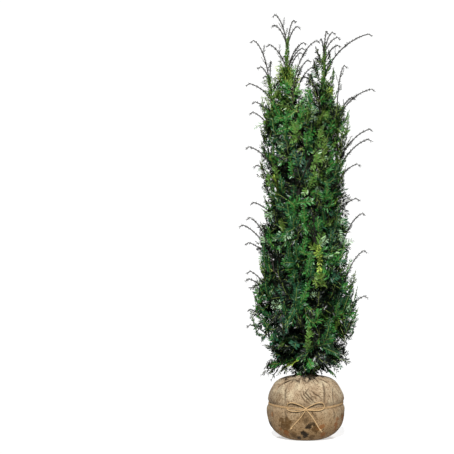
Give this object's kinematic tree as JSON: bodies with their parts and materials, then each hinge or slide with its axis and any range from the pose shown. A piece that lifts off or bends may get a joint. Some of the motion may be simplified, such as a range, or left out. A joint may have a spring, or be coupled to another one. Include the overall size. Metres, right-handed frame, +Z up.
{
  "type": "english yew",
  "caption": "Slender evergreen hedging plant with soft dark needles, standing on a cloth-wrapped root ball tied with twine.",
  "frame": {"origin": "middle of the root ball's flat underside, on the ground", "axes": "+Z up along the plant, -Y towards the side with the bow, +X to the right of the bow as it is seen"},
  "size_m": [0.5993, 0.5383, 1.8926],
  "materials": {
    "hessian": "matte",
    "jute_twine": "matte",
    "yew_bark": "matte",
    "yew_needles_deep": "satin",
    "yew_needles": "satin",
    "yew_needles_young": "satin"
  },
  "bodies": {
    "root": {"root_ball": "hessian", "twine_girdle": "jute_twine", "twine_bow": "jute_twine", "trunk": "yew_bark", "right_leader": "yew_bark", "front_bough": "yew_bark", "back_bough": "yew_bark", "left_bough": "yew_bark", "right_bough": "yew_bark", "left_mass_1": "yew_needles_deep", "front_mass_1": "yew_needles_deep", "right_mass_1": "yew_needles_deep", "back_mass_1": "yew_needles_deep", "left_mass_2": "yew_needles_deep", "front_mass_2": "yew_needles_deep", "right_mass_2": "yew_needles_deep", "back_mass_2": "yew_needles_deep", "left_mass_3": "yew_needles_deep", "front_mass_3": "yew_needles_deep", "right_mass_3": "yew_needles_deep", "back_mass_3": "yew_needles_deep", "left_mass_4": "yew_needles", "front_mass_4": "yew_needles", "right_mass_4": "yew_needles", "back_mass_4": "yew_needles", "left_mass_5": "yew_needles", "front_mass_5": "yew_needles", "right_mass_5": "yew_needles", "back_mass_5": "yew_needles", "left_mass_6": "yew_needles", "front_mass_6": "yew_needles", "right_mass_6": "yew_needles", "back_mass_6": "yew_needles", "left_crown_left": "yew_needles_young", "left_crown_front": "yew_needles_young", "left_crown_back": "yew_needles_young", "right_crown_right": "yew_needles_young", "right_crown_front": "yew_needles_young", "right_crown_back": "yew_needles_young", "left_leader_top": "yew_needles_young", "right_leader_top": "yew_needles_young", "left_bough_top": "yew_needles_young", "right_bough_top": "yew_needles_young", "front_bough_top": "yew_needles_young", "back_bough_top": "yew_needles_young"}
  },
  "joints": []
}
